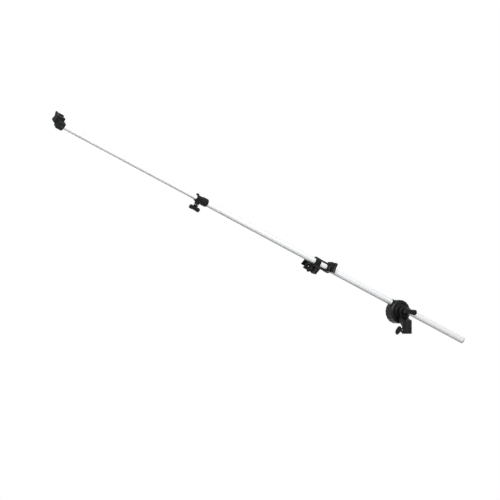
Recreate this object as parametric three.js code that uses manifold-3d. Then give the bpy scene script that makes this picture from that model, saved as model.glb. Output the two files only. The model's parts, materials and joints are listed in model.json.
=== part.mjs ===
import * as THREE from 'three';
import { mergeVertices } from 'three/addons/utils/BufferGeometryUtils.js';
import Module from 'manifold-3d';

// Reflector holder arm: a telescopic boom in a friction head that stands on a light stand.
// Millimetres, +Z up. The origin is the blind end of the stand socket, on the socket's axis.

const wasm = await Module();
wasm.setup();

// Driving dimensions of the boom
const outerTubeRadius = 9.5;
const outerTubeWall = 1.4;
const telescopeClearance = 0.4;
const innerTubeRadius = outerTubeRadius - outerTubeWall - telescopeClearance;
const innerTubeWall = 1.2;
const tailReach = 264;
const outerTubeFront = -818;
const innerTubeFront = -1408;
const innerTubeTail = -727;
const armDroop = THREE.MathUtils.degToRad(23.7);

// Driving dimensions of the friction head
const standStudRadius = 8;
const socketDepth = 35;
const socketWall = 7.4;
const socketRoof = 8;
const pivotHeight = 34;
const drumRadius = 37.3;
const drumHalfThickness = 17.5;
const bossRadius = 18;
const bossThickness = 20;
const bossFront = 10;
const washerThickness = 0.9;
const sleeveWall = 1.2;
const pivotBoltRadius = 4;

// Driving dimensions of the locks and clips
const lockThreadRadius = 3;
const shoeThickness = 2.5;
const rimThickness = 8;
const sliderCollarCentre = -300;
const sliderRingCentre = -346;
const lockCollarCentre = -810;
const endClipCentre = -1401;
const reflectorRoll = THREE.MathUtils.degToRad(36);

// Clearances and overrun
const gap = 0.3;
const halfGap = gap / 2;
const over = 1;

// Facets of round forms
const fineSides = 32;
const roundSides = 24;
const smallSides = 12;
const hexagonSides = 6;

const turn = Math.PI * 2;
const quarterTurn = Math.PI / 2;

// Finishes
function finish(color, roughness, metalness) {
  return () => new THREE.MeshStandardMaterial({ color, roughness, metalness });
}
const satinAluminium = finish(0xd4d6d8, 0.32, 1);
const blackPlastic = finish(0x1f2120, 0.5, 0);
const greyPlastic = finish(0x2b2e2c, 0.55, 0);
const paintedCasting = finish(0x1b1c1c, 0.42, 0.2);
const blackRubber = finish(0x151515, 0.85, 0);
const zincSteel = finish(0xb4b6b8, 0.3, 1);
const blackenedSteel = finish(0x2b2c2e, 0.42, 0.9);
const brass = finish(0xb08d45, 0.35, 1);
const blackNylon = finish(0x1d1e1e, 0.6, 0);
const fibre = finish(0x241f1c, 0.8, 0);

// Solids: a closed mesh becomes a manifold, which can be joined and cut
function solid(geometry) {
  const bare = geometry.clone();
  bare.deleteAttribute('normal');
  bare.deleteAttribute('uv');
  const merged = mergeVertices(bare, mergeDistance);
  const kept = [];
  for (let i = 0; i < merged.index.count; i += 3) {
    const [a, b, c] = [0, 1, 2].map((k) => merged.index.getX(i + k));
    if (a !== b && b !== c && c !== a) kept.push(a, b, c);
  }
  const vertices = new Float32Array(merged.attributes.position.array);
  const made = manifoldOf(vertices, kept);
  if (made.volume() > 0) return made;
  const turned = [];
  for (let i = 0; i < kept.length; i += 3) turned.push(kept[i], kept[i + 2], kept[i + 1]);
  return manifoldOf(vertices, turned);
}

function manifoldOf(vertProperties, triangles) {
  const mesh = new wasm.Mesh({ numProp: 3, vertProperties, triVerts: new Uint32Array(triangles) });
  return new wasm.Manifold(mesh);
}

function join(first, ...others) {
  return others.reduce((whole, next) => whole.add(next), first);
}

function cut(first, ...others) {
  return others.reduce((whole, next) => whole.subtract(next), first);
}

function common(first, second) {
  return first.intersect(second);
}

function geometryOf(made) {
  const mesh = made.getMesh();
  const geometry = new THREE.BufferGeometry();
  geometry.setAttribute('position', new THREE.BufferAttribute(mesh.vertProperties, 3));
  geometry.setIndex(new THREE.BufferAttribute(mesh.triVerts, 1));
  geometry.computeVertexNormals();
  return geometry;
}
const mergeDistance = 1e-4;

// The same form, moved
function moved(made, x, y, z) {
  return solid(geometryOf(made).translate(x, y, z));
}

// The same form, turned about one axis through the origin
function spun(made, axis, angle) {
  const matrix = new THREE.Matrix4().makeRotationAxis(axisOf[axis], angle);
  return solid(geometryOf(made).applyMatrix4(matrix));
}
const axisOf = {
  x: new THREE.Vector3(1, 0, 0),
  y: new THREE.Vector3(0, 1, 0),
  z: new THREE.Vector3(0, 0, 1),
};

// Turns a form that runs along Z so that it runs along the named axis
function along(axis, geometry) {
  if (axis === 'x') geometry.rotateY(quarterTurn);
  if (axis === 'y') geometry.rotateX(-quarterTurn);
  return geometry;
}

// A turned form: pairs of radius and height, revolved about the named axis
function turned(axis, profile, sides = roundSides) {
  const points = profile.map(([radius, height]) => new THREE.Vector2(radius, height));
  return solid(along(axis, new THREE.LatheGeometry(points, sides).rotateX(quarterTurn)));
}

function rod(axis, radius, from, to, sides = roundSides) {
  return turned(axis, [[0, from], [radius, from], [radius, to], [0, to]], sides);
}

function bevelledRod(axis, radius, from, to, bevel, sides = roundSides) {
  const profile = [[0, from], [radius - bevel, from], [radius, from + bevel]];
  profile.push([radius, to - bevel], [radius - bevel, to], [0, to]);
  return turned(axis, profile, sides);
}

function sleeve(axis, outer, inner, from, to, sides = roundSides) {
  return turned(axis, [[inner, from], [outer, from], [outer, to], [inner, to], [inner, from]], sides);
}

function block(x, y, z) {
  const size = [x, y, z].map(([low, high]) => high - low);
  const middle = [x, y, z].map(([low, high]) => (high + low) / 2);
  return solid(new THREE.BoxGeometry(...size).translate(...middle));
}

// A flat outline raised along Z from one height to another, with its edges bevelled
const cornerSteps = 3;
function raised(outline, from, to, bevel = 0, steps = cornerSteps) {
  const settings = {
    depth: to - from - 2 * bevel,
    curveSegments: steps,
    bevelEnabled: bevel > 0,
    bevelThickness: bevel,
    bevelSize: bevel,
    bevelOffset: -bevel,
    bevelSegments: 1,
  };
  return new THREE.ExtrudeGeometry(outline, settings).translate(0, 0, from + bevel);
}

function roundedOutline(left, right, low, high, radius) {
  const outline = new THREE.Shape();
  outline.moveTo(left + radius, low);
  outline.lineTo(right - radius, low);
  outline.absarc(right - radius, low + radius, radius, -quarterTurn, 0);
  outline.lineTo(right, high - radius);
  outline.absarc(right - radius, high - radius, radius, 0, quarterTurn);
  outline.lineTo(left + radius, high);
  outline.absarc(left + radius, high - radius, radius, quarterTurn, Math.PI);
  outline.lineTo(left, low + radius);
  outline.absarc(left + radius, low + radius, radius, Math.PI, Math.PI + quarterTurn);
  return outline;
}

function polygonOutline(points) {
  return new THREE.Shape(points.map(([x, y]) => new THREE.Vector2(x, y)));
}

function hexagonOutline(acrossFlats) {
  const corner = acrossFlats / 2 / Math.cos(Math.PI / hexagonSides);
  const angles = Array.from({ length: hexagonSides }, (_, i) => (i * turn) / hexagonSides);
  return polygonOutline(angles.map((angle) => [corner * Math.cos(angle), corner * Math.sin(angle)]));
}

function hexagon(axis, acrossFlats, from, to) {
  return solid(along(axis, raised(hexagonOutline(acrossFlats), from, to)));
}

function piece(name, made, material, parent) {
  const mesh = new THREE.Mesh(geometryOf(made), material());
  mesh.name = name;
  parent.add(mesh);
  return mesh;
}

function groupAt(parent, x = 0, y = 0, z = 0) {
  const group = new THREE.Group();
  group.position.set(x, y, z);
  parent.add(group);
  return group;
}

// Clamp screws run along +Z, away from what they press, and start at the shoe's face
const shoeRadius = 4.5;
const studDogRadius = 2.2;
const insertWall = 2.2;
const knobBoreRadius = lockThreadRadius + gap;
const tHubTopRadius = 5.6;
const tHubFootRadius = 7.5;
const headHubFlare = 1.45;
const paddleThickness = 6;
const paddleHubRadius = 5;
const paddleStem = 2.5;
const paddleGrip = 3;
const paddleBevel = 1.2;
const paddleSpineRadius = 2;
const paddleBoreDepth = paddleStem + paddleGrip;
const ovalSteps = 6;

function pressureShoe() {
  const seat = studDogRadius + gap;
  const pocket = shoeThickness / 2;
  const profile = [[0, 0], [shoeRadius - pocket / 2, 0], [shoeRadius, pocket / 2]];
  profile.push([shoeRadius, shoeThickness], [seat, shoeThickness], [seat, pocket], [0, pocket]);
  return turned('z', profile, smallSides);
}

// The stud's dog point stands in the shoe, and its far end is moulded into the knob
function lockStud(length) {
  const dogFoot = shoeThickness / 2 + gap;
  const shoulder = shoeThickness + gap;
  const profile = [[0, dogFoot], [studDogRadius, dogFoot], [studDogRadius, shoulder]];
  profile.push([lockThreadRadius, shoulder + lockThreadRadius - studDogRadius]);
  profile.push([lockThreadRadius, length], [0, length]);
  return turned('z', profile, smallSides);
}

function knobBore(from, depth) {
  return rod('z', knobBoreRadius, from - over, from + depth, smallSides);
}

// A T-handle: a tapered hub under a bar that is waisted in the middle and full at its ends
const barHalfProfileShares = [
  [0, 0.84],
  [0.3, 0.86],
  [0.58, 0.97],
  [0.88, 1],
  [0.97, 0.93],
  [1, 0.78],
  [1, 0],
];
const hubFootHeight = 4;
function tHandle(from, barHeight, length, thickness, flare = 1) {
  const foot = tHubFootRadius * flare;
  const hub = [[0, from], [foot, from], [foot, from + hubFootHeight]];
  hub.push([tHubTopRadius, barHeight - hubFootHeight], [tHubTopRadius, barHeight], [0, barHeight]);
  const half = barHalfProfileShares.map(([reachShare, radiusShare]) => [
    (thickness / 2) * radiusShare,
    (length / 2) * reachShare,
  ]);
  const mirrored = half.slice(1).reverse().map(([radius, reach]) => [radius, -reach]);
  const bar = new THREE.LatheGeometry(
    [...mirrored, ...half].map(([radius, reach]) => new THREE.Vector2(radius, reach)),
    smallSides
  );
  bar.rotateZ(quarterTurn).translate(0, 0, barHeight);
  return join(turned('z', hub, smallSides), solid(bar));
}

// An oval thumb paddle that stands on a round hub
function thumbPaddle(from, length, width) {
  const middle = from + paddleStem + width / 2;
  const oval = new THREE.Shape();
  oval.absellipse(0, middle, length / 2, width / 2, 0, turn);
  const plate = raised(oval, -paddleThickness / 2, paddleThickness / 2, paddleBevel, ovalSteps);
  plate.rotateX(quarterTurn);
  const hub = [[0, from], [paddleHubRadius, from], [paddleHubRadius, from + paddleBoreDepth]];
  hub.push([paddleSpineRadius, middle], [0, middle]);
  return join(turned('z', hub, smallSides), solid(plate));
}

function threadedInsert(axis, from, to) {
  const bore = lockThreadRadius + halfGap;
  return sleeve(axis, bore + insertWall, bore, from, to, smallSides);
}
const insertPocketRadius = lockThreadRadius + halfGap + insertWall + gap;

// A clamp screw is a shoe, a stud and a knob in one group
function clampScrew(parent, names, studLength, knob, knobMaterial = blackPlastic) {
  piece(names.shoe, pressureShoe(), blackNylon, parent);
  piece(names.stud, lockStud(studLength), zincSteel, parent);
  piece(names.knob, knob, knobMaterial, parent);
}

const holder = new THREE.Group();

// Head base: the stand socket, its neck and the pivot boss are one casting
const socketBoreRadius = standStudRadius + gap;
const socketRadius = socketBoreRadius + socketWall;
const castingBevel = 1.2;
const neckFootHalfWidth = 11;
const neckFoot = -10;
const neckReach = 8;
const neckInset = 2;
const pocketWidth = 9;
const pocketHeight = 15.5;
const pocketDepth = 3;
const pocketBottom = 3;
const bossBack = bossFront + bossThickness;
const screwHeight = -24;
const socketScrewTravel = 1.6;
const socketScrewBossRadius = 8;
const shoePocket = shoeThickness + socketScrewTravel + gap;
const socketInsertLength = 7;
const socketScrewFace = standStudRadius - gap;
const insertStart = socketScrewFace + shoePocket;
const socketScrewBossEnd = insertStart + socketInsertLength;
const pivotBoreRadius = pivotBoltRadius + gap;

function neck() {
  const front = polygonOutline([
    [-neckFootHalfWidth, neckFoot],
    [neckFootHalfWidth, neckFoot],
    [bossRadius - neckInset, pivotHeight - neckInset],
    [neckInset - bossRadius, pivotHeight - neckInset],
  ]);
  const side = polygonOutline([
    [bossFront + neckInset, pivotHeight],
    [bossFront + neckInset, pivotHeight - bossRadius],
    [-neckReach, socketRoof - neckInset],
    [-neckReach, 0],
    [bossFront, neckFoot],
    [socketRadius - castingBevel, neckFoot],
    [bossBack - neckInset, socketRoof + neckInset],
    [bossBack - neckInset, pivotHeight],
  ]);
  const wide = raised(front, -bossBack, socketRadius).rotateX(quarterTurn);
  const deep = raised(side, -bossRadius, bossRadius).rotateY(quarterTurn).rotateX(quarterTurn);
  return common(solid(wide), solid(deep));
}

function headBase() {
  const socket = bevelledRod('z', socketRadius, -socketDepth, socketRoof, castingBevel, fineSides);
  const boss = bevelledRod('y', bossRadius, bossFront, bossBack, castingBevel, fineSides);
  const screwBoss = rod('x', socketScrewBossRadius, -socketScrewBossEnd, 0);
  const shoeHole = rod('x', shoeRadius + gap, -socketScrewFace - shoePocket, 0, smallSides);
  const insertFrom = -socketScrewBossEnd - over;
  const insertHole = rod('x', insertPocketRadius, insertFrom, halfGap - insertStart, smallSides);
  const pocket = block(
    [-pocketWidth / 2, pocketWidth / 2],
    [-socketRadius - over, pocketDepth - socketRadius],
    [pocketBottom - socketDepth, pocketBottom - socketDepth + pocketHeight]
  );
  return cut(
    join(socket, neck(), moved(boss, 0, 0, pivotHeight), moved(screwBoss, 0, 0, screwHeight)),
    rod('z', socketBoreRadius, -socketDepth - over, 0),
    moved(rod('y', pivotBoreRadius, bossFront - over, bossBack + over), 0, 0, pivotHeight),
    moved(shoeHole, 0, 0, screwHeight),
    moved(insertHole, 0, 0, screwHeight),
    pocket
  );
}
piece('head_base', headBase(), paintedCasting, holder);

const socketInsert = threadedInsert('x', -socketScrewBossEnd, -insertStart - halfGap);
piece('socket_screw_insert', moved(socketInsert, 0, 0, screwHeight), blackenedSteel, holder);

// Stand socket screw, along -X, with its paddle turned a little off upright
const socketPaddleLength = 32;
const socketPaddleWidth = 18;
const paddleTurn = THREE.MathUtils.degToRad(-35);
const socketKnobStart = socketScrewBossEnd - socketScrewFace + gap + socketScrewTravel;
const socketScrew = groupAt(holder, -socketScrewFace, 0, screwHeight);
socketScrew.rotation.y = -quarterTurn;
const socketScrewTurned = groupAt(socketScrew);
socketScrewTurned.rotation.z = paddleTurn;
clampScrew(
  socketScrewTurned,
  { shoe: 'socket_screw_shoe', stud: 'socket_screw_stud', knob: 'socket_screw_paddle' },
  socketKnobStart + paddleBoreDepth - gap,
  cut(
    thumbPaddle(socketKnobStart, socketPaddleLength, socketPaddleWidth),
    knobBore(socketKnobStart, paddleBoreDepth)
  )
);

// Pivot stack: friction washer, drum halves, bolt and cap, all on the pivot axis
const washerStart = bossBack + gap;
const washerEnd = washerStart + washerThickness;
const drumFace = washerEnd + gap;
const drumSplit = drumFace + drumHalfThickness;
const drumBack = drumSplit + drumHalfThickness;
const ringOuter = 31;
const ringInner = 27;
const seatRadius = 19;
const annulusDepth = 2.5;
const drumChamfer = 3;
const gripRibs = 18;
const gripRibDepth = 1.2;
const sleeveInner = outerTubeRadius + gap;
const sleeveOuter = sleeveInner + sleeveWall;
const channelRadius = sleeveOuter + gap;
const channelWall = 1.4;
const tubeOffset = pivotBoreRadius + channelWall + channelRadius;
const boltHeadFlats = 13;
const boltHeadHeight = 5.3;
const capThickness = 3;
const capCrown = 2;
const capRadius = 11;
const capSpigotRadius = 8;

const pivot = groupAt(holder, 0, 0, pivotHeight);
piece(
  'friction_washer',
  sleeve('y', seatRadius - gap, pivotBoreRadius, washerStart, washerEnd, fineSides),
  fibre,
  pivot
);
const arm = groupAt(pivot);
arm.rotation.y = armDroop;

// Half a drum, turned about the pivot axis, with its outer face towards lower heights
function drumHalf(face, split) {
  const inward = Math.sign(split - face);
  const profile = [[0, face], [seatRadius, face], [seatRadius, face + inward * annulusDepth]];
  profile.push([ringInner, face + inward * annulusDepth], [ringInner, face], [ringOuter, face]);
  profile.push([drumRadius, face + inward * drumChamfer], [drumRadius, split - inward * halfGap]);
  profile.push([0, split - inward * halfGap]);
  return turned('y', profile, fineSides);
}

// The drum's side has shallow scallops between its grip ribs
const scallopShares = [0, 1, 1];
function ribbedSide(from, to) {
  const corners = [];
  for (let i = 0; i < gripRibs; i++) {
    scallopShares.forEach((depthShare, step) => {
      const angle = ((i + step / scallopShares.length) * turn) / gripRibs;
      const radius = drumRadius - gripRibDepth * depthShare;
      corners.push([radius * Math.cos(angle), radius * Math.sin(angle)]);
    });
  }
  return solid(along('y', raised(polygonOutline(corners), from, to)));
}

function tubeChannel() {
  const channel = rod('x', channelRadius, -drumRadius - over, drumRadius + over, fineSides);
  return moved(channel, 0, drumSplit, tubeOffset);
}

const innerHalf = cut(
  common(drumHalf(drumFace, drumSplit), ribbedSide(drumFace - over, drumSplit + over)),
  rod('y', pivotBoreRadius, drumFace - over, drumSplit + over),
  tubeChannel()
);
piece('drum_inner_half', innerHalf, paintedCasting, arm);

const pocketFloor = drumBack - capThickness - boltHeadHeight;
const outerHalf = cut(
  common(drumHalf(drumBack, drumSplit), ribbedSide(drumSplit - over, drumBack + over)),
  rod('y', pivotBoreRadius, drumSplit - over, drumBack + over),
  tubeChannel(),
  hexagon('y', boltHeadFlats + 2 * gap, pocketFloor, drumBack + over),
  rod('y', capSpigotRadius + gap, drumBack - capThickness, drumBack + over)
);
piece('drum_outer_half', outerHalf, paintedCasting, arm);

const capTurned = [[0, drumBack - capThickness + gap], [capSpigotRadius, drumBack - capThickness + gap]];
capTurned.push([capSpigotRadius, drumBack + gap], [capRadius, drumBack + gap]);
capTurned.push([capRadius - capThickness / 2, drumBack + capThickness / 2], [0, drumBack + capCrown]);
piece('drum_cap', turned('y', capTurned), blackPlastic, arm);

// Head lock: the bolt ends inside the T-knob, whose hex insert runs on its thread
const knobWasherThickness = 1.4;
const headKnobStart = bossFront - 2 * gap - knobWasherThickness;
const headHubLength = 20;
const headBarDrop = 27;
const headBarLength = 40;
const headBarThickness = 18;
const boltEnd = headKnobStart - headHubLength + gap;
const headBarTurn = THREE.MathUtils.degToRad(10);
const knobNutFlats = 13;
const knobNutHeight = 6.5;

const bolt = join(
  hexagon('y', boltHeadFlats, pocketFloor + gap, pocketFloor + boltHeadHeight),
  rod('y', pivotBoltRadius, boltEnd, pocketFloor + gap + over)
);
piece('pivot_bolt', bolt, zincSteel, arm);

const washerSpan = [bossFront - gap - knobWasherThickness, bossFront - gap];
piece('head_knob_washer', sleeve('y', bossRadius / 2, pivotBoreRadius, ...washerSpan), zincSteel, pivot);

const headKnob = groupAt(pivot, 0, headKnobStart, 0);
headKnob.rotation.x = quarterTurn;
const headKnobTurned = groupAt(headKnob);
headKnobTurned.rotation.z = -headBarTurn;
const headHandle = cut(
  tHandle(0, headBarDrop, headBarLength, headBarThickness, headHubFlare),
  rod('z', pivotBoreRadius, -over, headHubLength + gap),
  hexagon('z', knobNutFlats + 2 * gap, -over, knobNutHeight + gap)
);
piece('head_t_knob', headHandle, blackPlastic, headKnobTurned);
const knobNut = cut(
  hexagon('z', knobNutFlats, gap, knobNutHeight),
  rod('z', pivotBoltRadius + halfGap, 0, knobNutHeight + over)
);
piece('head_knob_insert', knobNut, brass, headKnobTurned);

// Boom: the thick tube slides and rolls in a sleeve between the drum halves
const tailPlugLength = 14;
const tailCapLength = 2.5;
const boom = groupAt(arm, 0, drumSplit, tubeOffset);
const liner = sleeve('x', sleeveOuter, sleeveInner, -drumRadius, drumRadius, fineSides);
piece('drum_liner', liner, blackNylon, boom);
const outerBore = outerTubeRadius - outerTubeWall;
piece(
  'outer_tube',
  sleeve('x', outerTubeRadius, outerBore, outerTubeFront, tailReach - tailCapLength - gap, fineSides),
  satinAluminium,
  boom
);
const plugRadius = outerBore - gap;
const plugFace = tailReach - tailCapLength;
const tailPlug = turned('x', [
  [0, plugFace - tailPlugLength],
  [plugRadius - tailCapLength / 2, plugFace - tailPlugLength],
  [plugRadius, plugFace - tailPlugLength + tailCapLength],
  [plugRadius, plugFace],
  [outerTubeRadius, plugFace],
  [outerTubeRadius, tailReach - tailCapLength / 2],
  [outerTubeRadius - tailCapLength / 2, tailReach],
  [0, tailReach],
]);
piece('tail_plug', tailPlug, greyPlastic, boom);

// Lock collar: a ribbed body on the thick tube and a neck round the thin one, with a split ear
const collarLength = 20;
const collarWall = 3.6;
const collarRadius = outerTubeRadius + gap + collarWall;
const collarChamfer = 1.5;
const collarRibs = 9;
const collarRibDepth = 1.3;
const collarNeckLength = 25;
const collarNeckWall = 3.4;
const collarNeckRadius = innerTubeRadius + gap + collarNeckWall;
const collarScrewBossRadius = 8;
const collarScrewInset = 14;
const lockInsertLength = 6;
const lockTravel = 1.2;
const earThickness = 6;
const earWidth = 9;
const earHeight = 3.5;
const earInset = 1;
const earCorner = 3;
const earTop = collarNeckRadius + earHeight;
const collarRear = lockCollarCentre + collarLength / 2;
const collarFront = lockCollarCentre - collarLength / 2;
const neckEnd = collarFront - collarNeckLength;
const collarScrewPlace = neckEnd + collarScrewInset;
const collarScrewTilt = THREE.MathUtils.degToRad(13);
const lockShoeFace = innerTubeRadius + gap;
const lockInsertStart = lockShoeFace + shoeThickness + lockTravel + gap;
const lockBossEnd = lockInsertStart + halfGap + lockInsertLength;
const earRoot = innerTubeRadius + 2 * gap;
const slitWidth = 2;
const slitLength = 15;

// Each rib is a pair of corners on the full radius and a pair on the grooves' radius
const ribShares = [
  [0.05, 1],
  [0.25, 0],
  [0.75, 0],
  [0.95, 1],
];
function ribbedOutline() {
  const corners = [];
  for (let i = 0; i < collarRibs; i++) {
    ribShares.forEach(([stepShare, depthShare]) => {
      const angle = ((i + stepShare) * turn) / collarRibs;
      const radius = collarRadius - collarRibDepth * depthShare;
      corners.push([radius * Math.cos(angle), radius * Math.sin(angle)]);
    });
  }
  return polygonOutline(corners);
}

const lockSide = Math.PI + collarScrewTilt;
const lockScrew = groupAt(boom, collarScrewPlace, 0, 0);
lockScrew.rotation.x = lockSide;

function atLock(made) {
  return moved(spun(made, 'x', lockSide), collarScrewPlace, 0, 0);
}

function lockCollar() {
  const body = turned('x', [
    [0, collarFront],
    [collarNeckRadius, collarFront],
    [collarRadius, collarFront + collarChamfer],
    [collarRadius, collarRear - collarChamfer],
    [collarRadius - collarChamfer, collarRear],
    [0, collarRear],
  ]);
  const ribs = solid(along('x', raised(ribbedOutline(), collarFront - over, collarRear + over)));
  const collarNeck = bevelledRod('x', collarNeckRadius, neckEnd, collarFront + over, castingBevel);
  const earOutline = roundedOutline(-earTop, -earRoot, -earWidth / 2, earWidth / 2, earCorner);
  const earStart = neckEnd + earInset;
  const ear = solid(along('x', raised(earOutline, earStart, earStart + earThickness)));
  const slit = block(
    [neckEnd - over, neckEnd + slitLength],
    [-slitWidth / 2, slitWidth / 2],
    [0, earTop + over]
  );
  return cut(
    join(common(body, ribs), collarNeck, atLock(rod('z', collarScrewBossRadius, 0, lockBossEnd)), ear),
    rod('x', innerTubeRadius + gap, neckEnd - over, outerTubeFront, fineSides),
    rod('x', outerTubeRadius + gap, outerTubeFront - gap, collarRear + over, fineSides),
    atLock(rod('z', shoeRadius + gap, 0, lockInsertStart, smallSides)),
    atLock(rod('z', insertPocketRadius, lockInsertStart - over, lockBossEnd + over, smallSides)),
    slit
  );
}
piece('lock_collar', lockCollar(), blackPlastic, boom);
const lockInsert = threadedInsert('z', lockInsertStart + halfGap, lockBossEnd);
piece('lock_insert', lockInsert, blackenedSteel, lockScrew);
const lockHandleStart = lockBossEnd - lockShoeFace + gap + lockTravel;
const lockBarPlace = 31.5;
const lockBarLength = 36;
const lockBarThickness = 14;
const handleBoreDepth = 7;
const lockScrewAtShoe = groupAt(lockScrew, 0, 0, lockShoeFace);
clampScrew(
  lockScrewAtShoe,
  { shoe: 'lock_shoe', stud: 'lock_stud', knob: 'lock_t_knob' },
  lockHandleStart + handleBoreDepth - gap,
  cut(
    tHandle(lockHandleStart, lockBarPlace - lockShoeFace, lockBarLength, lockBarThickness),
    knobBore(lockHandleStart, handleBoreDepth)
  )
);

// Thin tube with its guide bush inside the thick one
const bushCollarLength = 8;
const bushPlugLength = 22;
const innerBore = innerTubeRadius - innerTubeWall;
const guideBush = turned('x', [
  [0, innerTubeTail - bushPlugLength],
  [innerBore - gap, innerTubeTail - bushPlugLength],
  [innerBore - gap, innerTubeTail + gap],
  [outerBore - gap, innerTubeTail + gap],
  [outerBore - gap, innerTubeTail + gap + bushCollarLength],
  [0, innerTubeTail + gap + bushCollarLength],
], fineSides);
piece('inner_guide_bush', guideBush, blackNylon, boom);

// End clip: a block on the thin tube's end with a C-shaped jaw behind it for the reflector's rim.
// Its frame has +Z towards the reflector's front and +Y along the rim.
const clipBlockHalf = 14;
const clipBlockHalfWidth = 13.5;
const clipBlockWall = 1.5;
const clipBlockHalfDepth = innerTubeRadius + gap + clipBlockWall;
const clipCorner = 5;
const clipBevel = 1.5;
const padThickness = 2;
const clipOpening = 2.5;
const clipClosing = 3;
const clipPlateThickness = 6;
const clipInsertLength = 5.5;
const rimPaddleLength = 23;
const rimPaddleWidth = 14;
const endScrewPlace = -6;
const endScrewSide = 8;
const endPlateHalfWidth = 14;
const endHeelThickness = 6;
const endPlateReach = 10;
const endShoulderWidth = 24;
const endShoulderThickness = 6;
const endShoulderRight = 8;
const rivetRadius = 2;
const rivetPlace = 5;
const rivetHeadRadius = 3.4;
const rivetHeadHeight = 1.4;
const rivetCrownRadius = 2.8;
const rivetCrownHeight = 1;
const dimpleRadius = 1.1;
const dimpleDepth = 1.6;
const dimplePlaces = [
  [-4, -9],
  [0.5, -7],
];
const rollToFront = quarterTurn + reflectorRoll;
const throat = padThickness + gap + rimThickness + shoeThickness + clipOpening + gap;

const endClip = groupAt(boom, endClipCentre, 0, 0);
endClip.rotation.x = rollToFront;
const endPlateTop = -clipBlockHalfDepth - throat;
const endPlateBack = endPlateTop - clipPlateThickness;
const endPlateLow = endScrewSide - endPlateHalfWidth;
const endPlateHigh = endScrewSide + endPlateHalfWidth;
const rivetHoleRadius = rivetRadius + gap;
const endHeelOuter = -clipBlockHalf - endHeelThickness;
const endSocketFloor = innerTubeFront - endClipCentre - gap;

// A C outline in the plane of the tube and the screw, raised along the rim
function jawOutline(points, low, high) {
  const turnedUp = raised(polygonOutline(points), -high, -low).rotateX(quarterTurn);
  return solid(turnedUp);
}

function endClipBracket() {
  const blockOutline = roundedOutline(
    -clipBlockHalf,
    clipBlockHalf,
    -clipBlockHalfWidth,
    clipBlockHalfWidth,
    clipCorner
  );
  const front = solid(raised(blockOutline, -clipBlockHalfDepth, clipBlockHalfDepth, clipBevel));
  const shoulderOutline = roundedOutline(
    -clipBlockHalf,
    endShoulderRight,
    0,
    endShoulderWidth,
    clipCorner
  );
  const shoulderTop = endShoulderThickness - clipBlockHalfDepth;
  const shoulder = solid(raised(shoulderOutline, -clipBlockHalfDepth, shoulderTop, clipBevel));
  const heel = jawOutline([
    [-clipBlockHalf + clipCorner, -clipBlockHalfDepth + clipBevel],
    [-clipBlockHalf, shoulderTop - clipBevel],
    [endHeelOuter + clipBevel, shoulderTop - 2 * clipBevel],
    [endHeelOuter, shoulderTop - 3 * clipBevel],
    [endHeelOuter, endPlateBack + clipCorner],
    [endHeelOuter + clipCorner, endPlateBack],
    [endPlateReach - clipBevel, endPlateBack],
    [endPlateReach, endPlateBack + clipBevel],
    [endPlateReach, endPlateTop - clipBevel],
    [endPlateReach - clipBevel, endPlateTop],
    [-clipBlockHalf + clipBevel, endPlateTop],
    [-clipBlockHalf, endPlateTop + clipBevel],
    [-clipBlockHalf, -clipBlockHalfDepth + clipBevel / 2],
  ], endPlateLow, endPlateHigh);
  const insertHole = rod('z', insertPocketRadius, endPlateBack - over, endPlateTop + over, smallSides);
  const blockEnds = [-clipBlockHalfDepth - over, clipBlockHalfDepth + over];
  const rivetHole = rod('z', rivetHoleRadius, ...blockEnds, smallSides);
  const dimpleFloor = clipBlockHalfDepth - dimpleDepth;
  const dimple = rod('z', dimpleRadius, dimpleFloor, clipBlockHalfDepth + over, smallSides);
  return cut(
    join(front, shoulder, heel),
    rod('x', innerTubeRadius + gap, endSocketFloor, clipBlockHalf + over, fineSides),
    moved(insertHole, endScrewPlace, endScrewSide, 0),
    moved(rivetHole, rivetPlace, 0, 0),
    ...dimplePlaces.map(([x, y]) => moved(dimple, x, y, 0))
  );
}
piece('end_clip_bracket', endClipBracket(), greyPlastic, endClip);

const rivet = turned('z', [
  [0, gap - clipBlockHalfDepth],
  [rivetRadius, gap - clipBlockHalfDepth],
  [rivetRadius, clipBlockHalfDepth + gap],
  [rivetHeadRadius, clipBlockHalfDepth + gap],
  [rivetCrownRadius, clipBlockHalfDepth + gap + rivetCrownHeight],
  [0, clipBlockHalfDepth + gap + rivetHeadHeight],
], smallSides);
piece('end_clip_rivet', moved(rivet, rivetPlace, 0, 0), blackenedSteel, endClip);

const padTop = -clipBlockHalfDepth - gap;
const endPadOutline = roundedOutline(
  clipBevel - clipBlockHalf,
  endPlateReach - clipBevel,
  endPlateLow + clipBevel,
  endPlateHigh - clipBevel,
  clipCorner / 2
);
const endPadCut = moved(
  rod('z', rivetRadius + 2 * gap, padTop - padThickness - over, padTop + over, smallSides),
  rivetPlace,
  0,
  0
);
const endPad = solid(raised(endPadOutline, padTop - padThickness, padTop));
piece('end_clip_pad', cut(endPad, endPadCut), blackRubber, endClip);

const tubeRivetHole = rod('z', rivetHoleRadius, -outerTubeRadius, outerTubeRadius, smallSides);
const thinTube = cut(
  sleeve('x', innerTubeRadius, innerBore, innerTubeFront, innerTubeTail, fineSides),
  spun(moved(tubeRivetHole, endClipCentre + rivetPlace, 0, 0), 'x', rollToFront)
);
piece('inner_tube', thinTube, satinAluminium, boom);

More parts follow.
